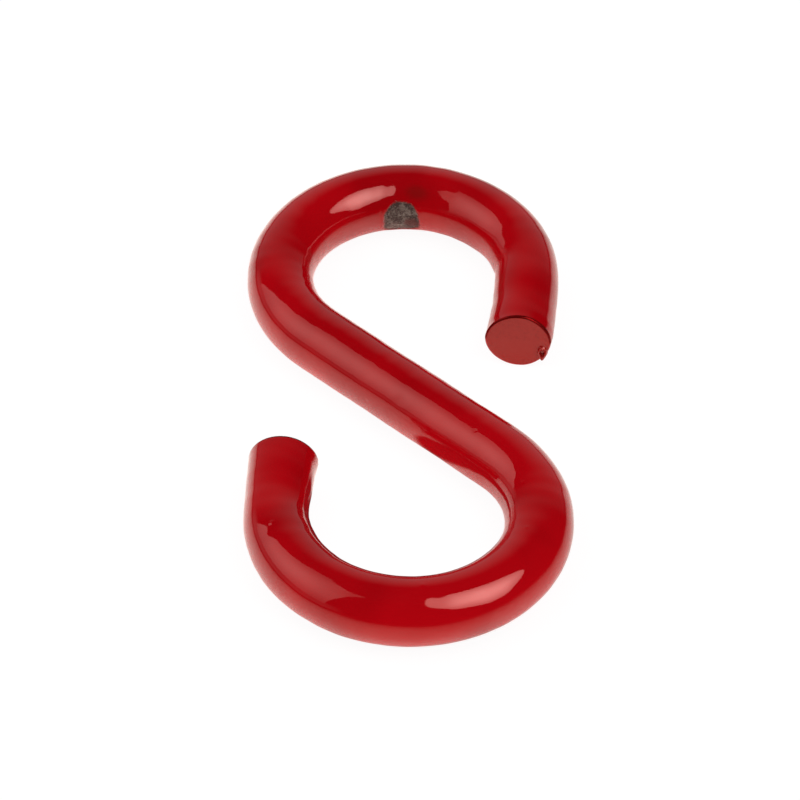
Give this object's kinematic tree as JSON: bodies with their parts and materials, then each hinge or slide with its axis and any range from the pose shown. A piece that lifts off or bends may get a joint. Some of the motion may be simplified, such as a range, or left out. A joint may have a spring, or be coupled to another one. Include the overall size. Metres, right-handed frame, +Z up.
{
  "type": "s hook",
  "caption": "Round-bar S hook with two open eyes facing opposite ways and cut ends, finished in a glossy red coating, for joining a chain, ring or rod to a hanging load.",
  "frame": {"origin": "middle of the hook's footprint, on the surface it lies on", "axes": "+X across the hook towards the upper tip's side, +Y along the hook towards the upper eye, +Z up from the surface it lies on, along the axis of both eyes"},
  "size_m": [0.0284, 0.06, 0.006],
  "materials": {
    "red_coating": "thick glossy red coating over steel bar"
  },
  "bodies": {
    "root": {"hook": "red_coating"}
  },
  "joints": []
}
